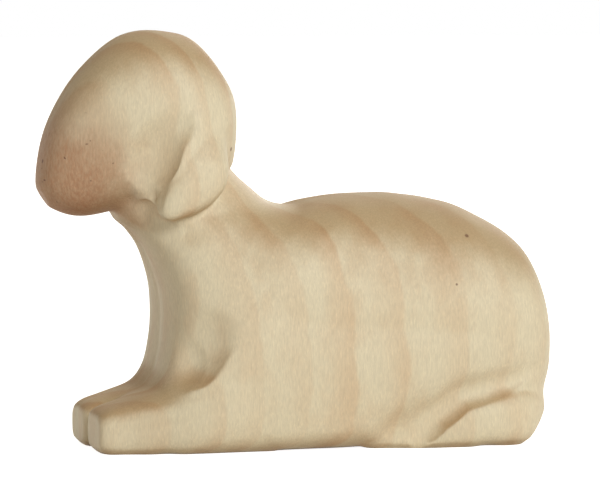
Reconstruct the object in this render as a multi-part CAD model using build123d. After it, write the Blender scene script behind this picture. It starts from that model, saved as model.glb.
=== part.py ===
from build123d import *
import math
import os

# A sheep lying down, carved in pale maple and left natural.
# The body block holds the neck, the two forelegs stretched out in front and the two folded hind legs.
# The head block holds the hanging ears and sits over the top of the neck, which is cut as a tapered seat.
# A beech dowel, glued into blind holes in both blocks, runs through the seat.
# Millimetres. +Z is up, the nose points to -X and the sheep's left side faces -Y.
# The blocks are worked out from the chest front at x = 0, then moved over the middle of the figure.

# Body
body_length = 42.4
back_height = 27.1
haunch_width = 24.2
ground_cut_depth = 3.0

# Neck, between the back and the seat that the head stands on
neck_depth = 12.85
neck_rise = 3.5
jaw_overhang = 1.5

# Head, an egg that leans with its small end, the muzzle, down
head_length = 23.8
head_depth = 19.2
head_width = 15.8
head_lean = 31.6

# Ears, each a flap that hangs from the crown and stands proud of the neck at its tip
ear_length = 14.1
ear_breadth = 8.0
ear_flare = 1.5
ear_thickness = 4.4
ear_lean = 27.0

# Forelegs
foreleg_length = 20.6
foreleg_reach = 8.6
hoof_width = 7.4
hoof_height = 4.8

# Hind legs
hind_leg_length = 21.6
hind_leg_height = 6.9
hind_leg_inset = 1.15

# Gouge cuts, one in front of each shoulder and one above each hind leg
scoop_radius = 3.6
hollow_radius = 2.6

# Dowel and glue lines
dowel_diameter = 4.0
dowel_length = 13.0
dowel_clearance = 0.05
dowel_end_gap = 0.5
glue_gap = 0.3

# Number of points on the outline of each carved section, of steps from one row of the trunk's table to the
# next, and of its rows that shape the head's socket
outline_points = 24
row_steps = 2
socket_rows = 7

# Shapes, as shares of the sizes above.
# Neck and trunk, from the seat to the rump. Each row is one section that runs from the back line to
# the front line: back x and z, front x and z, along the body length and the back height. Then what the
# neck adds: half its depth, its rise and its half width. Then the part of half the haunch width, and
# the squareness of the back and of the front.
trunk_shares = [
    (0.008, 1.060, 0.008, 0.944, 0.355, 1.00, 0.68, 0.000, 2.3, 2.3),
    (0.020, 1.020, 0.016, 0.884, 0.450, 0.93, 0.87, 0.000, 2.3, 2.5),
    (0.036, 0.975, 0.024, 0.820, 0.500, 0.85, 1.02, 0.000, 2.2, 2.8),
    (0.111, 0.927, 0.047, 0.781, 0.430, 0.65, 0.82, 0.160, 2.2, 3.2),
    (0.181, 0.925, 0.033, 0.741, 0.280, 0.45, 0.60, 0.330, 2.2, 3.4),
    (0.251, 0.929, 0.021, 0.675, 0.160, 0.28, 0.40, 0.490, 2.3, 3.8),
    (0.321, 0.944, 0.008, 0.592, 0.060, 0.12, 0.18, 0.660, 2.4, 4.2),
    (0.380, 0.975, -0.007, 0.494, 0.000, 0.00, 0.00, 0.800, 2.5, 4.2),
    (0.422, 0.986, -0.014, 0.391, 0.000, 0.00, 0.00, 0.840, 2.5, 4.0),
    (0.458, 0.993, -0.026, 0.308, 0.000, 0.00, 0.00, 0.865, 2.6, 3.8),
    (0.491, 0.997, -0.050, 0.231, 0.000, 0.00, 0.00, 0.885, 2.6, 3.8),
    (0.525, 0.999, -0.032, 0.133, 0.000, 0.00, 0.00, 0.905, 2.6, 4.4),
    (0.560, 1.000, 0.040, 0.041, 0.000, 0.00, 0.00, 0.920, 2.6, 5.6),
    (0.600, 0.999, 0.157, -0.003, 0.000, 0.00, 0.00, 0.935, 2.6, 6.2),
    (0.646, 0.990, 0.294, -0.004, 0.000, 0.00, 0.00, 0.950, 2.6, 6.6),
    (0.700, 0.977, 0.436, -0.004, 0.000, 0.00, 0.00, 0.968, 2.6, 6.0),
    (0.762, 0.953, 0.580, -0.004, 0.000, 0.00, 0.00, 0.985, 2.6, 4.4),
    (0.826, 0.907, 0.714, -0.006, 0.000, 0.00, 0.00, 0.990, 2.6, 3.2),
    (0.887, 0.853, 0.824, -0.007, 0.000, 0.00, 0.00, 0.975, 2.6, 2.9),
    (0.936, 0.783, 0.904, 0.034, 0.000, 0.00, 0.00, 0.910, 2.6, 2.8),
    (0.970, 0.670, 0.956, 0.110, 0.000, 0.00, 0.00, 0.790, 2.6, 2.8),
    (0.990, 0.548, 0.984, 0.192, 0.000, 0.00, 0.00, 0.610, 2.4, 2.5),
    (1.000, 0.450, 0.998, 0.288, 0.000, 0.00, 0.00, 0.380, 2.2, 2.2),
]
# Foreleg: x along its length, inner and outer y along the hoof width, underside and top along the
# hoof height, and its squareness. Only the hooves are split, and behind them the two legs run together.
foreleg_shares = [
    (0.000, 0.110, 0.890, 0.08, 0.82, 3.4),
    (0.014, 0.050, 0.940, 0.02, 0.91, 3.6),
    (0.048, 0.030, 0.985, -0.04, 1.00, 3.9),
    (0.110, 0.000, 1.030, -0.06, 1.09, 3.8),
    (0.200, -0.120, 1.110, -0.06, 1.21, 3.8),
    (0.300, -0.300, 1.210, -0.06, 1.34, 3.8),
    (0.400, -0.350, 1.315, -0.06, 1.52, 3.8),
    (0.519, -0.350, 1.420, -0.06, 1.90, 3.6),
    (0.633, -0.300, 1.480, -0.06, 2.35, 3.4),
    (0.776, -0.150, 1.500, -0.06, 2.60, 3.2),
    (0.895, 0.000, 1.470, -0.06, 2.20, 3.0),
    (0.967, 0.200, 1.370, 0.02, 1.60, 2.8),
    (1.000, 0.420, 1.150, 0.20, 1.00, 2.5),
]
# Hind leg: x along its length, inner and outer y along half the haunch width, underside and top
# along its height, and its squareness.
hind_leg_shares = [
    (0.000, 0.520, 0.740, 0.04, 0.16, 2.4),
    (0.080, 0.500, 0.800, -0.02, 0.22, 2.6),
    (0.220, 0.480, 0.860, -0.04, 0.30, 2.8),
    (0.340, 0.470, 0.940, -0.04, 0.45, 2.9),
    (0.440, 0.460, 0.985, -0.04, 0.67, 2.9),
    (0.560, 0.450, 1.005, -0.04, 0.83, 2.9),
    (0.725, 0.410, 1.000, -0.04, 0.95, 2.9),
    (0.857, 0.369, 0.940, -0.02, 1.00, 2.8),
    (0.942, 0.328, 0.830, 0.23, 0.92, 2.6),
    (0.984, 0.328, 0.710, 0.41, 0.81, 2.5),
    (1.000, 0.377, 0.600, 0.49, 0.71, 2.4),
]
# Gouge cuts: middle of the gouge, x along the body length, y along half the haunch width and z along the
# back height, and its radius along the cut's own. Both ends lift clear of the wood.
scoop_shares = [
    (-0.182, 0.770, 0.384, 0.89),
    (-0.100, 0.793, 0.347, 0.97),
    (-0.045, 0.815, 0.366, 1.00),
    (0.018, 0.876, 0.406, 1.00),
    (0.070, 0.955, 0.450, 0.72),
    (0.112, 1.080, 0.488, 0.28),
]
hollow_shares = [
    (0.478, 1.130, 0.000, 0.98),
    (0.548, 1.060, 0.058, 1.12),
    (0.643, 1.046, 0.155, 0.72),
    (0.726, 1.012, 0.225, 0.37),
    (0.832, 0.996, 0.266, 0.25),
    (0.932, 0.950, 0.292, 0.19),
]
# Head: place along its length, brow side and jaw side along half its depth, half width along half
# its width, and the squareness of the brow and of the jaw.
head_shares = [
    (0.010, 0.097, 0.174, 0.16, 2.2, 2.2),
    (0.037, 0.198, 0.276, 0.32, 2.2, 2.2),
    (0.083, 0.337, 0.399, 0.46, 2.3, 2.3),
    (0.149, 0.505, 0.495, 0.57, 2.5, 2.3),
    (0.227, 0.655, 0.569, 0.67, 2.7, 2.3),
    (0.331, 0.800, 0.681, 0.78, 2.8, 2.5),
    (0.455, 0.922, 0.830, 0.90, 2.8, 3.0),
    (0.579, 0.998, 0.950, 0.97, 2.6, 3.2),
    (0.702, 1.013, 1.000, 1.00, 2.4, 2.8),
    (0.806, 0.924, 0.890, 0.97, 2.3, 2.3),
    (0.888, 0.775, 0.650, 0.86, 2.2, 2.2),
    (0.946, 0.624, 0.431, 0.68, 2.2, 2.2),
    (0.975, 0.398, 0.252, 0.47, 2.1, 2.1),
    (0.990, 0.164, 0.097, 0.20, 2.1, 2.1),
]
# Where the neck's seat lies in the head, along its length and its depth
seat_shares = (0.569, -0.235)
# Ear: place along its length, rear and front edge along its breadth, outer face along the flare,
# thickness along its own, and its squareness.
ear_shares = [
    (0.05, 0.12, -0.16, -0.90, 0.90, 2.3),
    (0.20, 0.24, -0.26, -0.20, 1.00, 2.5),
    (0.37, 0.39, -0.30, 0.45, 1.00, 2.6),
    (0.52, 0.50, -0.29, 0.85, 1.00, 2.6),
    (0.65, 0.48, -0.28, 1.00, 1.00, 2.6),
    (0.77, 0.40, -0.27, 1.00, 0.96, 2.5),
    (0.87, 0.27, -0.26, 0.90, 0.86, 2.4),
    (0.95, 0.13, -0.22, 0.70, 0.70, 2.3),
    (1.00, 0.02, -0.12, 0.40, 0.50, 2.2),
]
# Where the ears hang in the head, along its length and its depth
ear_root_shares = (0.890, -0.065)

# Derived sizes
haunch_half = haunch_width / 2
neck_half = head_width / 2 - jaw_overhang


def power(value, squareness):
    """One coordinate of a squared-off ellipse."""
    return math.copysign(abs(value) ** (2 / squareness), value)


def section(centre, lean, up, down, half_width, square_up, square_down):
    """One carved section: a squared-off ellipse in the plane of Y and of the direction at lean degrees from +Z."""
    points = []
    for k in range(outline_points):
        turn = 2 * math.pi * k / outline_points
        rises = math.cos(turn) >= 0
        square = square_up if rises else square_down
        along = power(math.cos(turn), square) * (up if rises else down)
        across = power(math.sin(turn), square) * half_width
        x = centre[0] + along * math.sin(math.radians(lean))
        z = centre[2] + along * math.cos(math.radians(lean))
        points.append((x, centre[1] + across, z))
    points.append(points[0])
    arcs = [Edge.make_three_point_arc(*points[k : k + 3]) for k in range(0, outline_points, 2)]
    return Wire(arcs)


def between(back, front, gap, half_width, square_back, square_front):
    """A section from a point on the back line to one on the front line, grown all round by gap."""
    centre = ((back[0] + front[0]) / 2, 0, (back[1] + front[1]) / 2)
    lean = math.degrees(math.atan2(back[0] - front[0], back[1] - front[1]))
    half = math.hypot(back[0] - front[0], back[1] - front[1]) / 2 + gap
    return section(centre, lean, half, half, half_width + gap, square_back, square_front)


def finer(rows, steps):
    """The rows with others between them, on a smooth curve through each column."""
    ends = [[2 * b - a for a, b in zip(rows[k], rows[m])] for k, m in ((1, 0), (-2, -1))]
    line = [ends[0], *rows, ends[1]]
    made = []
    for k in range(1, len(rows)):
        for step in range(steps):
            t = step / steps
            pulls = ((2 - t) * t * t - t, (3 * t - 5) * t * t + 2, ((4 - 3 * t) * t + 1) * t, (t - 1) * t * t)
            columns = zip(*line[k - 1 : k + 3])
            made.append([sum(pull * value for pull, value in zip(pulls, column)) / 2 for column in columns])
    made.append(list(rows[-1]))
    return made


def trunk_line(row, gap=0):
    """The back point, the front point and the half width of one row of trunk_shares, lifted by gap at the seat."""
    back_x, back_z, front_x, front_z, depth, rise, neck_width, width = row[:8]
    reach = depth * neck_depth
    lift = rise * (neck_rise + gap)
    back = (back_x * body_length + reach, back_z * back_height + lift)
    front = (front_x * body_length - reach, front_z * back_height + lift)
    return back, front, neck_width * neck_half + width * haunch_half


def trunk_sections(rows, gap=0):
    """Sections from the back line to the front line, grown all round by gap."""
    sections = []
    for row in finer(rows, row_steps):
        back, front, half_width = trunk_line(row, gap)
        sections.append(between(back, front, gap, half_width, row[8], row[9]))
    return sections


def seat_frame():
    """The centre of the neck's seat, and the direction out of it."""
    back, front, _ = trunk_line(trunk_shares[0])
    centre = Vector((back[0] + front[0]) / 2, 0, (back[1] + front[1]) / 2)
    return centre, Vector(front[1] - back[1], 0, back[0] - front[0]).normalized()


def leg(shares, start, length, y_size, z_size):
    """A leg on the sheep's right side, lofted from its sections across X."""
    sections = []
    for x, inner, outer, under, top, square in shares:
        centre = (start + x * length, (inner + outer) / 2 * y_size, (under + top) / 2 * z_size)
        half = (top - under) / 2 * z_size
        sections.append(section(centre, 0, half, half, (outer - inner) / 2 * y_size, square, square))
    return Solid.make_loft(sections)


def gouge(shares, radius):
    """The path of a gouge cut on the sheep's right side: round sections across the path."""
    middles = [(x * body_length, y * haunch_half, z * back_height) for x, y, z, _ in shares]
    rise = middles[-1][2] - middles[0][2]
    lean = -math.degrees(math.atan2(rise, middles[-1][0] - middles[0][0]))
    sections = []
    for middle, row in zip(middles, shares):
        reach = row[3] * radius
        sections.append(section(middle, lean, reach, reach, reach, 2, 2))
    return Solid.make_loft(sections)


def pair(solid):
    return [solid, mirror(solid, about=Plane.XZ)]


def dowel_cylinder(radius, length):
    """A cylinder on the dowel's axis, half of it in each block."""
    centre, out = seat_frame()
    plane = Plane(origin=centre, z_dir=out)
    return plane * Cylinder(radius, length)


def body_block():
    foreleg = leg(foreleg_shares, -foreleg_reach, foreleg_length, hoof_width, hoof_height)
    hind_start = body_length - hind_leg_inset - hind_leg_length
    hind_leg = leg(hind_leg_shares, hind_start, hind_leg_length, haunch_half, hind_leg_height)
    block = Solid.make_loft(trunk_sections(trunk_shares))
    for limb in pair(foreleg) + pair(hind_leg):
        block = block + limb
    for cut in pair(gouge(scoop_shares, scoop_radius)) + pair(gouge(hollow_shares, hollow_radius)):
        block = block - cut
    span = body_length + head_length + foreleg_reach
    ground = Box(2 * span, 2 * haunch_width, ground_cut_depth, align=(Align.CENTER, Align.CENTER, Align.MAX))
    block = block - ground
    return block - dowel_cylinder(dowel_diameter / 2 + dowel_clearance, dowel_length + 2 * dowel_end_gap)


def head_place(along, off):
    """A point in the head's middle plane, off the axis that runs from the muzzle to the crown."""
    seat, _ = seat_frame()
    lean = math.radians(head_lean)
    axis = (math.cos(lean), math.sin(lean))
    normal = (-math.sin(lean), math.cos(lean))
    ds = (along - seat_shares[0]) * head_length
    dh = (off - seat_shares[1]) * head_depth
    return (seat.X + ds * axis[0] + dh * normal[0], 0, seat.Z + ds * axis[1] + dh * normal[1])


def skull():
    sections = []
    for along, brow, jaw, width, square_brow, square_jaw in head_shares:
        centre = head_place(along, 0)
        sections.append(
            section(
                centre,
                -head_lean,
                brow * head_depth / 2,
                jaw * head_depth / 2,
                width * head_width / 2,
                square_brow,
                square_jaw,
            )
        )
    return Solid.make_loft(sections)


def ear():
    root = head_place(*ear_root_shares)
    lean = math.radians(ear_lean)
    sections = []
    for along, rear, front, flare, thick, square in ear_shares:
        outer = head_width / 2 + flare * ear_flare
        half = thick * ear_thickness / 2
        centre = (
            root[0] - along * ear_length * math.sin(lean),
            outer - half,
            root[2] - along * ear_length * math.cos(lean),
        )
        middle = (rear + front) / 2 * ear_breadth
        centre = (centre[0] + middle * math.cos(lean), centre[1], centre[2] - middle * math.sin(lean))
        reach = (rear - front) / 2 * ear_breadth
        sections.append(section(centre, 90 + ear_lean, reach, reach, half, square, square))
    return Solid.make_loft(sections)


def head_block():
    block = skull()
    for flap in pair(ear()):
        block = block + flap
    block = block - Solid.make_loft(trunk_sections(trunk_shares[:socket_rows], glue_gap))
    return block - dowel_cylinder(dowel_diameter / 2 + dowel_clearance, dowel_length + 2 * dowel_end_gap)


def neck_dowel():
    return dowel_cylinder(dowel_diameter / 2, dowel_length)


def main():
    os.makedirs("parts", exist_ok=True)
    made = {"body": body_block(), "head": head_block(), "neck_dowel": neck_dowel()}
    box = Compound([shape for shape in made.values()]).bounding_box()
    middle = Pos(-(box.min.X + box.max.X) / 2, 0, 0)
    for name, shape in made.items():
        placed = middle * shape
        export_step(placed, f"parts/{name}.step")
        print(name, placed.volume, placed.bounding_box())


main()
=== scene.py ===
import bpy
import bmesh
import math
import numpy as np
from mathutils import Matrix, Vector, noise


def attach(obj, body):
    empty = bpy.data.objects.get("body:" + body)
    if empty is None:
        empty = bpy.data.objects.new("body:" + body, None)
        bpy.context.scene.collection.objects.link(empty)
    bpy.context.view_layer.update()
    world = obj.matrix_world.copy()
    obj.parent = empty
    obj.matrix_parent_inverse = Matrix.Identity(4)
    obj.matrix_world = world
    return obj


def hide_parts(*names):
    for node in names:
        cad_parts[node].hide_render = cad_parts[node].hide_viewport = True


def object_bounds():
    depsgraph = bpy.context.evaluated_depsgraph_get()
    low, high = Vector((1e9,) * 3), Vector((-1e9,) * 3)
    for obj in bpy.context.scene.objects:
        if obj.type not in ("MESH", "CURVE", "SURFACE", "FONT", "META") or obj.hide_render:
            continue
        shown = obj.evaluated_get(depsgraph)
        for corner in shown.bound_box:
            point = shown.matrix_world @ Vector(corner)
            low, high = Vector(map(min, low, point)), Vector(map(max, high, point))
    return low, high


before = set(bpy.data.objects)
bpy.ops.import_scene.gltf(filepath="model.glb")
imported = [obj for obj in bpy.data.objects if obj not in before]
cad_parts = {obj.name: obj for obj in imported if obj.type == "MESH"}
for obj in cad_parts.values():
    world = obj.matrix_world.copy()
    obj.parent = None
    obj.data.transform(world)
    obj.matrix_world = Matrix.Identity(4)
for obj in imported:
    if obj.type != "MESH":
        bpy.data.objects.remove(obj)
cadLow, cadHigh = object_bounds()
cadSize = cadHigh - cadLow
mm = 0.001
print("frame loaded:", ", ".join(sorted(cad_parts)))


# colours are written as they look on a screen, 0 to 255
def tone(red, green, blue):
    linear = [(c / 255 / 12.92) if c < 10 else ((c / 255 + 0.055) / 1.055) ** 2.4 for c in (red, green, blue)]
    return (*linear, 1.0)


pureWhite = (1, 1, 1, 1)


# a place on the sheep: share of its length from the muzzle, of half its width, and of its height
def place(along, across, up):
    return np.array((
        cadLow.x + along * cadSize.x,
        across * cadSize.y / 2,
        cadLow.z + up * cadSize.z,
    ))


# the camera stands where the photograph was taken from
cameraView = {
    "azimuth": -16.5,        # degrees, seen from the sheep's left and a little from in front
    "elevation": 4.0,
    "distance": 400 * mm,
    "aimRight": 1.2 * mm,    # the picture's middle, from the origin
    "aimUp": 22.0 * mm,
    "frameWidth": 65.79 * mm,
    "sensorWidth": 36,
    "clip": (0.01, 20),      # metres
}


def makeCamera(v):
    turn, rise = math.radians(v["azimuth"]), math.radians(v["elevation"])
    back = Vector((math.sin(turn) * math.cos(rise), -math.cos(turn) * math.cos(rise), math.sin(rise)))
    right = Vector((math.cos(turn), math.sin(turn), 0))
    up = back.cross(right)
    data = bpy.data.cameras.new("sheepCamera")
    data.sensor_width = v["sensorWidth"]
    data.lens = data.sensor_width * v["distance"] / v["frameWidth"]
    data.clip_start, data.clip_end = v["clip"]
    data.dof.use_dof = False
    camera = bpy.data.objects.new("sheepCamera", data)
    camera.rotation_mode = "QUATERNION"
    camera.location = right * v["aimRight"] + up * v["aimUp"] + back * v["distance"]
    camera.rotation_quaternion = (-back).to_track_quat("-Z", "Y")
    bpy.context.scene.collection.objects.link(camera)
    bpy.context.scene.camera = camera


makeCamera(cameraView)
print("camera ready")


# small helpers that wire up materials
def addNode(tree, kind, **values):
    node = tree.nodes.new(kind)
    for name, value in values.items():
        setattr(node, name, value)
    return node


def feed(tree, source, target):
    tree.links.new(source, target)


def calc(tree, operation, first, second=None, third=None, clamp=False):
    node = addNode(tree, "ShaderNodeMath", operation=operation, use_clamp=clamp)
    for socket, value in zip(node.inputs, (first, second, third)):
        if value is None:
            continue
        if isinstance(value, (int, float)):
            socket.default_value = value
        else:
            feed(tree, value, socket)
    return node.outputs[0]


def fade(tree, value, low, high, outLow=0.0, outHigh=1.0):
    node = addNode(tree, "ShaderNodeMapRange", interpolation_type="SMOOTHSTEP")
    feed(tree, value, node.inputs["Value"])
    for name, number in (("From Min", low), ("From Max", high), ("To Min", outLow), ("To Max", outHigh)):
        node.inputs[name].default_value = number
    return node.outputs["Result"]


def blendColour(tree, amount, first, second, mode="MIX"):
    node = addNode(tree, "ShaderNodeMix", data_type="RGBA", blend_type=mode)
    for socket, value in zip((node.inputs[0], node.inputs[6], node.inputs[7]), (amount, first, second)):
        if isinstance(value, (int, float, tuple)):
            socket.default_value = value
        else:
            feed(tree, value, socket)
    return node.outputs[2]


# a noise is given as its stretch along each axis, its scale, its detail and its roughness
def noiseAt(tree, spot, look):
    stretch, scale, detail, roughness = look
    stretched = addNode(tree, "ShaderNodeVectorMath", operation="MULTIPLY")
    feed(tree, spot, stretched.inputs[0])
    stretched.inputs[1].default_value = stretch
    node = addNode(tree, "ShaderNodeTexNoise")
    for name, number in (("Scale", scale), ("Detail", detail), ("Roughness", roughness)):
        node.inputs[name].default_value = number
    feed(tree, stretched.outputs[0], node.inputs["Vector"])
    return node.outputs[0]


# adds a noise, counted from its middle and so many times as strong
def wavered(tree, value, ripple, amount):
    return calc(tree, "MULTIPLY_ADD", calc(tree, "SUBTRACT", ripple, 0.5), amount, value)


def distanceFrom(tree, spot, point):
    node = addNode(tree, "ShaderNodeVectorMath", operation="DISTANCE")
    feed(tree, spot, node.inputs[0])
    node.inputs[1].default_value = tuple(point / mm)
    return node.outputs["Value"]


# the place in millimetres from the frame's origin, so that every piece is cut from the same block, and the
# way that the surface faces
def blockPlace(tree):
    coordinates = addNode(tree, "ShaderNodeTexCoord")
    node = addNode(tree, "ShaderNodeVectorMath", operation="SCALE")
    feed(tree, coordinates.outputs["Object"], node.inputs[0])
    node.inputs["Scale"].default_value = 1 / mm
    return node.outputs[0], coordinates.outputs["Normal"]


# growth rings of the block, each with its place on the ring axis, the width of its slow rise and of its
# quick fall, in millimetres, and its strength
growthRings = (
    (-34.5, 3.4, 0.8, 0.55),
    (-30.0, 2.8, 0.7, 0.70),
    (-25.2, 3.2, 0.7, 0.60),
    (-20.3, 2.6, 0.6, 0.85),
    (-16.4, 2.6, 0.5, 0.70),
    (-11.6, 2.9, 0.6, 0.95),
    (-6.2, 3.4, 0.6, 1.00),
    (-0.7, 3.4, 0.7, 0.90),
    (6.3, 4.0, 0.7, 0.75),
    (12.0, 3.4, 0.9, 0.45),
    (17.5, 3.6, 0.9, 0.40),
    (23.5, 4.0, 1.0, 0.35),
)


# a fade is given as the two values that it runs between, and what it makes of them where that isn't 0 to 1
uprightGrain = {
    "lean": 0.05,                 # how far the rings shift for each millimetre of height
    "broadNoise": ((1, 1, 0.6), 0.07, 2.0, 0.5),
    "broadWaver": 4.0,            # millimetres that the rings wander
    "fineNoise": ((1, 1, 0.45), 0.42, 3.0, 0.6),
    "fineWaver": 1.5,
    "patchNoise": ((1, 1, 0.4), 0.12, 2.0, 0.5),
    "patchFade": (0.3, 0.65, 0.35, 1.0),
    "blotchNoise": ((1, 1, 0.6), 0.22, 4.0, 0.6),
    "blotchFade": (0.42, 0.72, 0.0, 0.30),
    "downward": -0.6,             # what faces down shows less end grain than what faces up
    "endWaver": 0.35,
    "endFade": (0.10, 0.72),
    "endRings": (0.0, 0.7, 0.75, 1.25),   # rings show more on end grain
    "fleckNoise": ((5.6, 5.6, 1.05), 1.0, 2.0, 0.6),
    "dashNoise": ((7.0, 7.0, 1.5), 1.0, 1.0, 0.5),
    "dashFade": (0.55, 0.72),
    "dashShare": 0.22,
    "roughFade": (0.0, 1.0, 0.60, 0.72),  # end grain is rougher
    "fleckPolish": -0.12,
    "ringHeight": 0.3,
}


# wood whose grain stands upright: rings, ray flecks, and darker end grain on what faces up or down
def makeGrain(v, rings):
    tree = bpy.data.node_groups.new("uprightGrain", "ShaderNodeTree")
    for name, kind, value in (
        ("Early Colour", "NodeSocketColor", tone(225, 212, 182)),
        ("Late Colour", "NodeSocketColor", tone(214, 184, 146)),
        ("End Colour", "NodeSocketColor", tone(196, 164, 124)),
        ("Ring Turn", "NodeSocketFloat", 0.75),
        ("Ring Scale", "NodeSocketFloat", 1.0),
        ("Ring Strength", "NodeSocketFloat", 0.6),
        ("Fleck Strength", "NodeSocketFloat", 0.5),
        ("End Strength", "NodeSocketFloat", 1.0),
    ):
        socket = tree.interface.new_socket(name=name, in_out="INPUT", socket_type=kind)
        socket.default_value = value
    for name, kind in (
        ("Colour", "NodeSocketColor"),
        ("Roughness", "NodeSocketFloat"),
        ("Height", "NodeSocketFloat"),
    ):
        tree.interface.new_socket(name=name, in_out="OUTPUT", socket_type=kind)
    given = addNode(tree, "NodeGroupInput").outputs
    made = addNode(tree, "NodeGroupOutput").inputs
    spot, normal = blockPlace(tree)
    parts = addNode(tree, "ShaderNodeSeparateXYZ")
    feed(tree, spot, parts.inputs[0])
    facing = addNode(tree, "ShaderNodeSeparateXYZ")
    feed(tree, normal, facing.inputs[0])

    # the ring axis crosses the block at an angle, leans a little with height and wavers
    slant = calc(tree, "TANGENT", given["Ring Turn"])
    sheet = calc(tree, "MULTIPLY_ADD", parts.outputs[1], slant, parts.outputs[0])
    sheet = calc(tree, "MULTIPLY_ADD", parts.outputs[2], v["lean"], sheet)
    sheet = wavered(tree, sheet, noiseAt(tree, spot, v["broadNoise"]), v["broadWaver"])
    sheet = wavered(tree, sheet, noiseAt(tree, spot, v["fineNoise"]), v["fineWaver"])
    sheet = calc(tree, "MULTIPLY", sheet, given["Ring Scale"])
    late = None
    for middle, rise, fall, strength in rings:
        up = fade(tree, sheet, middle - rise, middle)
        down = fade(tree, sheet, middle, middle + fall, strength, 0.0)
        ring = calc(tree, "MULTIPLY", up, down)
        late = ring if late is None else calc(tree, "MAXIMUM", late, ring)
    patchy = fade(tree, noiseAt(tree, spot, v["patchNoise"]), *v["patchFade"])
    late = calc(tree, "MULTIPLY", calc(tree, "MULTIPLY", late, patchy), given["Ring Strength"])

    # end grain
    blotch = noiseAt(tree, spot, v["blotchNoise"])
    steep = calc(tree, "MAXIMUM", facing.outputs[2], calc(tree, "MULTIPLY", facing.outputs[2], v["downward"]))
    steep = wavered(tree, steep, blotch, v["endWaver"])
    end = calc(tree, "MULTIPLY", fade(tree, steep, *v["endFade"]), given["End Strength"])

    # pale wood, darker towards each ring's edge, and blotches
    late = calc(tree, "MULTIPLY", late, fade(tree, end, *v["endRings"]), clamp=True)
    colour = blendColour(tree, late, given["Early Colour"], given["Late Colour"])
    colour = blendColour(tree, fade(tree, blotch, *v["blotchFade"]), colour, given["Late Colour"])
    colour = blendColour(tree, end, colour, blendColour(tree, 1.0, colour, given["End Colour"], "MULTIPLY"))

    # ray flecks: short upright dashes, lighter and darker than the wood
    fleck = noiseAt(tree, spot, v["fleckNoise"])
    dash = fade(tree, noiseAt(tree, spot, v["dashNoise"]), *v["dashFade"])
    shade = calc(tree, "MULTIPLY", calc(tree, "SUBTRACT", fleck, 0.5), given["Fleck Strength"])
    shade = calc(tree, "MULTIPLY_ADD", dash, calc(tree, "MULTIPLY", given["Fleck Strength"], v["dashShare"]), shade)
    fibre = addNode(tree, "ShaderNodeVectorMath", operation="SCALE")
    feed(tree, colour, fibre.inputs[0])
    feed(tree, calc(tree, "ADD", shade, 1.0), fibre.inputs["Scale"])
    feed(tree, fibre.outputs[0], made["Colour"])

    rough = calc(tree, "MULTIPLY_ADD", fleck, v["fleckPolish"], fade(tree, end, *v["roughFade"]))
    feed(tree, rough, made["Roughness"])
    feed(tree, calc(tree, "MULTIPLY_ADD", late, v["ringHeight"], fleck), made["Height"])
    return tree


grain = makeGrain(uprightGrain, growthRings)


def placeGrain(tree, values):
    node = addNode(tree, "ShaderNodeGroup", node_tree=grain)
    for name, value in values.items():
        node.inputs[name].default_value = value
    return node


def makeShader(name):
    material = bpy.data.materials.new(name)
    material.use_nodes = True
    tree = material.node_tree
    shader = tree.nodes["Principled BSDF"]
    return material, tree, shader


def addBump(tree, shader, height, depth):
    bump = addNode(tree, "ShaderNodeBump")
    bump.inputs["Strength"].default_value = 1.0
    bump.inputs["Distance"].default_value = depth
    feed(tree, height, bump.inputs["Height"])
    feed(tree, bump.outputs["Normal"], shader.inputs["Normal"])


mapleFinish = {
    "grain": {
        "Early Colour": tone(226, 215, 187),
        "Late Colour": tone(212, 182, 146),
        "End Colour": tone(213, 197, 178),
        "Ring Turn": math.radians(43),
        "Ring Scale": 1.0,
        "Ring Strength": 0.62,
        "Fleck Strength": 0.34,
    },
    "bumpDepth": 0.012 * mm,
    "specular": 0.35,
    "napeMiddle": place(0.365, 0.0, 0.640),   # the nape is cut from pale wood
    "napeFade": (4.75, 9.5, 0.3, 1.0),        # millimetres from its middle, and the end grain's strength there
    "stainColour": tone(190, 134, 104),
    "stainMiddle": place(0.02, -0.20, 0.625),
    "stainFade": (3.5, 12.5, 0.8, 0.0),       # millimetres from its middle, and the stain's strength there
    "stainNoise": ((1, 1, 1), 0.35, 4.0, 0.6),
    "stainWaver": 4.0,
    "fibreNoise": ((4.0, 4.0, 1.2), 1.0, 3.0, 0.7),
    "fibreFade": (0.3, 0.7, 0.75, 1.0),
    "dotNoise": ((1, 1, 1), 1.5, 1.0, 0.4),
    "dotFade": (0.73, 0.80),
    "dotStrength": 1.2,
    "speckColour": tone(104, 66, 48),
    "speckCore": 0.4,        # share of a speck's radius, within which it is darkest
    "speckStrength": 0.75,
    "specks": (              # place, and radius in millimetres
        (place(0.809, -0.741, 0.506), 0.32),
        (place(0.774, -0.942, 0.394), 0.18),
        (place(0.356, -0.459, 0.718), 0.30),
        (place(0.007, -0.108, 0.691), 0.30),
    ),
}


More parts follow.
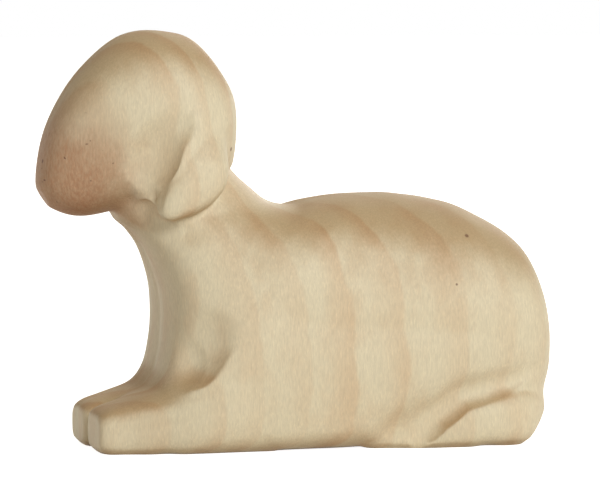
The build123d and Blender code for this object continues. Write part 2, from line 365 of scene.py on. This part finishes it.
def makeMaple(v):
    material, tree, shader = makeShader("paleMaple")
    wood = placeGrain(tree, v["grain"])
    spot, _ = blockPlace(tree)
    nape = fade(tree, distanceFrom(tree, spot, v["napeMiddle"]), *v["napeFade"])
    feed(tree, nape, wood.inputs["End Strength"])
    colour = wood.outputs["Colour"]

    # the muzzle is rubbed with a pinkish brown stain that thins out over the cheeks, with dark dots in it
    away = distanceFrom(tree, spot, v["stainMiddle"])
    away = wavered(tree, away, noiseAt(tree, spot, v["stainNoise"]), v["stainWaver"])
    fibres = fade(tree, noiseAt(tree, spot, v["fibreNoise"]), *v["fibreFade"])
    stain = calc(tree, "MULTIPLY", fade(tree, away, *v["stainFade"]), fibres)
    colour = blendColour(tree, stain, colour, blendColour(tree, 1.0, colour, v["stainColour"], "MULTIPLY"))
    dots = fade(tree, noiseAt(tree, spot, v["dotNoise"]), *v["dotFade"])
    dots = calc(tree, "MULTIPLY", dots, calc(tree, "MULTIPLY", stain, v["dotStrength"]), clamp=True)
    colour = blendColour(tree, dots, colour, v["speckColour"])

    # specks in the wood
    for point, radius in v["specks"]:
        away = distanceFrom(tree, spot, point)
        speck = fade(tree, away, radius * v["speckCore"], radius, v["speckStrength"], 0.0)
        colour = blendColour(tree, speck, colour, v["speckColour"])
    feed(tree, colour, shader.inputs["Base Color"])
    feed(tree, wood.outputs["Roughness"], shader.inputs["Roughness"])
    shader.inputs["Specular IOR Level"].default_value = v["specular"]
    addBump(tree, shader, wood.outputs["Height"], v["bumpDepth"])
    return material


beechFinish = {
    "grain": {
        "Early Colour": tone(214, 184, 148),
        "Late Colour": tone(190, 150, 112),
        "End Colour": tone(205, 180, 160),
        "Ring Turn": math.radians(20),
        "Ring Scale": 2.5,
        "Ring Strength": 0.8,
        "Fleck Strength": 0.3,
    },
    "bumpDepth": 0.02 * mm,
}


def makeBeech(v):
    material, tree, shader = makeShader("bareBeech")
    wood = placeGrain(tree, v["grain"])
    feed(tree, wood.outputs["Colour"], shader.inputs["Base Color"])
    feed(tree, wood.outputs["Roughness"], shader.inputs["Roughness"])
    addBump(tree, shader, wood.outputs["Height"], v["bumpDepth"])
    return material


maple = makeMaple(mapleFinish)
beech = makeBeech(beechFinish)
print("materials ready")


# one skin over the two glued blocks, because no seam shows
carving = {
    "voxel": 0.26 * mm,
    "firstRelax": 14,             # rounds
    "lastRelax": 5,
    "relaxPulls": (0.5, -0.52),   # towards the neighbours and back out again, so that nothing shrinks
    "sandingPull": 0.5,
    # Work on the left side, mirrored on the right, in this order. Each runs along a path of places, with sizes
    # in millimetres. A ball pushes the wood to its own wall, out from within or in from outside. Sanding, in
    # rounds, softens what lies within reach.
    "work": (
        # the wood under the cheek reaches back to the ear
        {"ball": 2.2, "path": (
            (0.183, -0.360, 0.675), (0.195, -0.352, 0.639), (0.207, -0.343, 0.617), (0.214, -0.360, 0.589),
        )},
        {"reach": 2.0, "sanding": 15, "path": (
            (0.162, -0.425, 0.610), (0.180, -0.441, 0.593),
        )},
        # front of the ear
        {"ball": 4.0, "path": (
            (0.282, -0.319, 0.811), (0.269, -0.364, 0.761), (0.260, -0.388, 0.717), (0.249, -0.409, 0.675),
        )},
        # the ear runs into the back of the head without an edge
        {"reach": 2.2, "sanding": 40, "path": (
            (0.310, -0.638, 0.776), (0.327, -0.646, 0.742), (0.340, -0.654, 0.700), (0.343, -0.638, 0.662),
        )},
        {"reach": 3.0, "sanding": 40, "path": (
            (0.298, -0.572, 0.860), (0.336, -0.491, 0.850), (0.359, -0.409, 0.815),
        )},
        # valley in front of the ear, steep at the ear and soft at the cheek
        {"ball": 3.4, "path": (
            (0.245, -0.920, 0.795), (0.212, -0.871, 0.767), (0.196, -0.826, 0.742), (0.184, -0.789, 0.709),
            (0.169, -0.764, 0.670), (0.156, -0.756, 0.628), (0.149, -0.764, 0.588),
        )},
        {"reach": 1.9, "sanding": 40, "path": (
            (0.232, -0.613, 0.798), (0.190, -0.609, 0.767), (0.162, -0.593, 0.742), (0.142, -0.580, 0.709),
            (0.134, -0.531, 0.670),
        )},
        {"reach": 1.5, "sanding": 40, "path": (
            (0.198, -0.507, 0.630), (0.201, -0.523, 0.599), (0.204, -0.540, 0.573),
        )},
        # fold under the cheek, down to the tip of the ear
        {"ball": 1.6, "path": (
            (0.180, -0.503, 0.569), (0.196, -0.535, 0.547), (0.213, -0.580, 0.527), (0.237, -0.666, 0.520),
            (0.265, -0.703, 0.530),
        )},
        {"reach": 2.3, "sanding": 90, "path": (
            (0.157, -0.262, 0.572), (0.166, -0.352, 0.564), (0.177, -0.401, 0.560),
        )},
        {"reach": 2.0, "sanding": 60, "path": (
            (0.174, -0.368, 0.538), (0.189, -0.425, 0.515), (0.209, -0.482, 0.492), (0.238, -0.556, 0.483),
            (0.275, -0.589, 0.494), (0.296, -0.597, 0.520),
        )},
        # soft upper and front sides of the scoop in front of the shoulder
        {"reach": 4.6, "sanding": 110, "path": (
            (0.262, -0.670, 0.320), (0.290, -0.770, 0.322), (0.315, -0.830, 0.293), (0.325, -0.870, 0.262),
        )},
        {"reach": 3.2, "sanding": 70, "path": (
            (0.242, -0.556, 0.281), (0.231, -0.597, 0.223), (0.225, -0.638, 0.165),
        )},
        # its wall, which leaves a crisp lower edge
        {"ball": 5.5, "path": (
            (0.276, -1.349, 0.367), (0.260, -1.128, 0.291), (0.246, -1.083, 0.273), (0.230, -1.042, 0.253),
            (0.194, -0.985, 0.233), (0.144, -1.022, 0.233),
        )},
        # the edge runs on along the top of the foreleg
        {"ball": 3.5, "path": (
            (0.233, -0.948, 0.227), (0.200, -0.875, 0.200), (0.140, -0.752, 0.182), (0.102, -0.670, 0.172),
        )},
        {"reach": 2.6, "sanding": 50, "path": (
            (0.262, -0.687, 0.319), (0.300, -0.769, 0.308), (0.335, -0.858, 0.288),
        )},
        # the chest sweeps out into the forelegs
        {"reach": 3.6, "sanding": 90, "path": (
            (0.173, 0.000, 0.168), (0.180, -0.327, 0.168), (0.194, -0.520, 0.162),
        )},
        # soft crest between the front of the chest and its side
        {"reach": 3.4, "sanding": 40, "path": (
            (0.201, -0.460, 0.529), (0.227, -0.470, 0.457), (0.243, -0.520, 0.387),
        )},
        # the flank turns in gently above the hind leg
        {"reach": 4.0, "sanding": 120, "path": (
            (0.646, -0.916, 0.078), (0.684, -0.948, 0.120), (0.736, -0.957, 0.154), (0.799, -0.973, 0.184),
            (0.864, -0.965, 0.200), (0.920, -0.932, 0.222),
        )},
        # crisp top edge of the hind leg
        {"ball": 2.2, "path": (
            (0.692, -1.022, 0.021), (0.727, -1.038, 0.077), (0.781, -1.071, 0.129), (0.841, -1.087, 0.147),
            (0.890, -1.075, 0.159), (0.924, -1.063, 0.169), (0.952, -1.022, 0.179),
        )},
        {"reach": 1.8, "sanding": 40, "path": (
            (0.669, -0.883, 0.061), (0.698, -0.916, 0.116), (0.757, -0.940, 0.165), (0.821, -0.948, 0.180),
            (0.879, -0.940, 0.194), (0.932, -0.891, 0.210),
        )},
        # no notch behind the hind leg
        {"reach": 2.2, "sanding": 60, "path": (
            (0.952, -0.793, 0.139), (0.973, -0.654, 0.129), (0.987, -0.327, 0.133), (0.991, 0.000, 0.133),
        )},
        # the hooves part in a soft groove
        {"reach": 1.6, "sanding": 20, "path": (
            (0.093, 0.000, 0.098), (0.088, 0.000, 0.057), (0.088, 0.000, 0.021),
        )},
    ),
    "chamferHeight": 0.60 * mm,   # round the underside
    "chamferDepth": 0.38 * mm,
    "flatDepth": 0.06 * mm,       # faint flats left by the sanding
    "flatSize": 6.0 * mm,
    "flatSeed": 7,
}


def toLeft(points):
    folded = points.copy()
    folded[:, 1] = -np.abs(folded[:, 1])
    return folded


def toPath(points, path):
    away = np.full(len(points), np.inf)
    nearest = np.empty_like(points)
    for start, end in zip(path[:-1], path[1:]):
        along = end - start
        share = np.clip(((points - start) @ along) / (along @ along), 0, 1)
        spot = start + share[:, None] * along
        distance = np.linalg.norm(points - spot, axis=1)
        nearer = distance < away
        away[nearer] = distance[nearer]
        nearest[nearer] = spot[nearer]
    return away, nearest


def pushedByBall(points, path, radius):
    left = toLeft(points)
    away, nearest = toPath(left, path)
    touched = away < radius
    left[touched] = nearest[touched] + (left[touched] - nearest[touched]) * (radius / away[touched])[:, None]
    left[:, 1] = np.where(points[:, 1] > 0, -left[:, 1], left[:, 1])
    return left


# each round moves every point towards the middle of its neighbours, by each pull in turn
def relax(points, edges, rounds, pulls):
    starts, ends = edges[:, 0], edges[:, 1]
    valence = np.bincount(edges.ravel(), minlength=len(points))[:, None]
    for _ in range(rounds):
        for pull in pulls:
            total = np.column_stack([
                np.bincount(starts, points[ends, axis], len(points))
                + np.bincount(ends, points[starts, axis], len(points))
                for axis in range(3)
            ])
            points = points + pull * (total / valence - points)
    return points


# which way the skin faces at each point
def outward(mesh, points):
    mesh.vertices.foreach_set("co", points.ravel())
    mesh.update()
    normals = np.empty(len(points) * 3)
    mesh.vertices.foreach_get("normal", normals)
    return normals.reshape(-1, 3)


def joinNodes(names):
    rough = bmesh.new()
    for name in names:
        rough.from_mesh(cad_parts[name].data)
    mesh = bpy.data.meshes.new("roughBlock")
    rough.to_mesh(mesh)
    rough.free()
    return mesh


def remeshed(mesh, voxel):
    blank = bpy.data.objects.new("blank", mesh)
    bpy.context.scene.collection.objects.link(blank)
    grid = blank.modifiers.new("grid", "REMESH")
    grid.mode = "VOXEL"
    grid.voxel_size = voxel
    graph = bpy.context.evaluated_depsgraph_get()
    made = bpy.data.meshes.new_from_object(blank.evaluated_get(graph))
    bpy.data.objects.remove(blank)
    bpy.data.meshes.remove(mesh)
    return made


# the gaps inside the joint leave hollow shells, and only the outer skin is kept
def outerSkin(mesh):
    work = bmesh.new()
    work.from_mesh(mesh)
    work.verts.ensure_lookup_table()
    outermost = max(work.verts, key=lambda vert: vert.co.x)
    kept = {outermost}
    front = [outermost]
    while front:
        vert = front.pop()
        for edge in vert.link_edges:
            other = edge.other_vert(vert)
            if other not in kept:
                kept.add(other)
                front.append(other)
    bmesh.ops.delete(work, geom=[vert for vert in work.verts if vert not in kept], context="VERTS")
    work.to_mesh(mesh)
    work.free()
    return mesh


def makeCarving(v):
    mesh = outerSkin(remeshed(joinNodes(("body", "head", "neck_dowel")), v["voxel"]))
    points = np.empty(len(mesh.vertices) * 3)
    mesh.vertices.foreach_get("co", points)
    points = points.reshape(-1, 3)
    edges = np.empty(len(mesh.edges) * 2, dtype=np.int64)
    mesh.edges.foreach_get("vertices", edges)
    edges = edges.reshape(-1, 2)
    print("carving skin:", len(points), "points")

    points = relax(points, edges, v["firstRelax"], v["relaxPulls"])
    for task in v["work"]:
        path = [place(*spot) for spot in task["path"]]
        if "ball" in task:
            points = pushedByBall(points, path, task["ball"] * mm)
        else:
            share = np.clip(1 - toPath(toLeft(points), path)[0] / (task["reach"] * mm), 0, 1)
            weight = (share * share * (3 - 2 * share))[:, None]
            points = relax(points, edges, task["sanding"], (v["sandingPull"] * weight,))
    points = relax(points, edges, v["lastRelax"], v["relaxPulls"])

    # the edge round the underside is broken
    low = np.clip(1 - (points[:, 2] - cadLow.z) / v["chamferHeight"], 0, 1)
    sideways = outward(mesh, points)
    sideways[:, 2] = 0
    points = points - sideways * (low * v["chamferDepth"])[:, None]

    # sanding leaves faint flats; without a seed the noise would differ from run to run
    noise.seed_set(v["flatSeed"])
    for k, point in enumerate(points):
        points[k] += v["flatDepth"] * np.array(noise.noise_vector(Vector(point) / v["flatSize"]))
    points = np.clip(points, np.array(cadLow), np.array(cadHigh))
    mesh.vertices.foreach_set("co", points.ravel())
    mesh.polygons.foreach_set("use_smooth", np.ones(len(mesh.polygons), dtype=bool))
    mesh.update()
    piece = bpy.data.objects.new("sheepCarving", mesh)
    bpy.context.scene.collection.objects.link(piece)
    mesh.materials.clear()
    mesh.materials.append(maple)
    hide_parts("body", "head")
    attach(piece, "root")


makeCarving(carving)
print("carving ready")

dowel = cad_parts["neck_dowel"]
dowel.data.materials.clear()
dowel.data.materials.append(beech)
print("dowel ready")


# floor, background and light
studio = {
    "floorHalf": 3.0,
    "floorTone": tone(236, 234, 230),
    "floorGlow": 0.90,        # what the camera sees of the floor even in shadow
    "airStrength": 0.31,
    "airColour": tone(255, 240, 215),
    "lampColour": tone(252, 253, 252),
    "lamps": {
        "keyLamp": {"spot": (0.33, -0.96, 0.62), "size": 0.45, "power": 7.8},
        "backLamp": {"spot": (0.55, 0.80, 0.45), "size": 0.6, "power": 3.2},
    },
}


def seenDirectly(tree):
    path = addNode(tree, "ShaderNodeLightPath")
    seen = calc(tree, "ADD", path.outputs["Is Camera Ray"], path.outputs["Is Glossy Ray"])
    return calc(tree, "ADD", seen, path.outputs["Is Transmission Ray"], clamp=True)


def makeFloor(v):
    mesh = bpy.data.meshes.new("studioFloor")
    half = v["floorHalf"]
    corners = [(-half, -half, cadLow.z), (half, -half, cadLow.z), (half, half, cadLow.z), (-half, half, cadLow.z)]
    mesh.from_pydata(corners, [], [(0, 1, 2, 3)])
    floor = bpy.data.objects.new("studioFloor", mesh)
    bpy.context.scene.collection.objects.link(floor)
    material = bpy.data.materials.new("whiteFloor")
    material.use_nodes = True
    tree = material.node_tree
    tree.nodes.remove(tree.nodes["Principled BSDF"])
    plain = addNode(tree, "ShaderNodeBsdfDiffuse")
    plain.inputs["Color"].default_value = v["floorTone"]
    glow = addNode(tree, "ShaderNodeEmission")
    glow.inputs["Color"].default_value = pureWhite
    glow.inputs["Strength"].default_value = v["floorGlow"]
    both = addNode(tree, "ShaderNodeAddShader")
    feed(tree, plain.outputs[0], both.inputs[0])
    feed(tree, glow.outputs[0], both.inputs[1])
    choose = addNode(tree, "ShaderNodeMixShader")
    feed(tree, seenDirectly(tree), choose.inputs[0])
    feed(tree, plain.outputs[0], choose.inputs[1])
    feed(tree, both.outputs[0], choose.inputs[2])
    feed(tree, choose.outputs[0], tree.nodes["Material Output"].inputs["Surface"])
    mesh.materials.append(material)


def makeAir(v):
    world = bpy.data.worlds.new("studioAir")
    world.use_nodes = True
    tree = world.node_tree
    lit = tree.nodes["Background"]
    lit.inputs["Color"].default_value = v["airColour"]
    lit.inputs["Strength"].default_value = v["airStrength"]
    white = addNode(tree, "ShaderNodeBackground")
    white.inputs["Color"].default_value = pureWhite
    white.inputs["Strength"].default_value = 1.0
    choose = addNode(tree, "ShaderNodeMixShader")
    feed(tree, seenDirectly(tree), choose.inputs[0])
    feed(tree, lit.outputs[0], choose.inputs[1])
    feed(tree, white.outputs[0], choose.inputs[2])
    feed(tree, choose.outputs[0], tree.nodes["World Output"].inputs["Surface"])
    bpy.context.scene.world = world


def makeLamp(name, colour, spot, size, power):
    data = bpy.data.lights.new(name, "AREA")
    data.shape = "DISK"
    data.size = size
    data.energy = power
    data.color = colour[:3]
    lamp = bpy.data.objects.new(name, data)
    lamp.location = spot
    lamp.rotation_mode = "QUATERNION"
    middle = Vector((0, 0, cadSize.z / 2))
    lamp.rotation_quaternion = (middle - lamp.location).to_track_quat("-Z", "Y")
    bpy.context.scene.collection.objects.link(lamp)


makeFloor(studio)
makeAir(studio)
for lampName, lampLook in studio["lamps"].items():
    makeLamp(lampName, studio["lampColour"], **lampLook)
bpy.context.scene.view_settings.view_transform = "Standard"
print("studio ready")
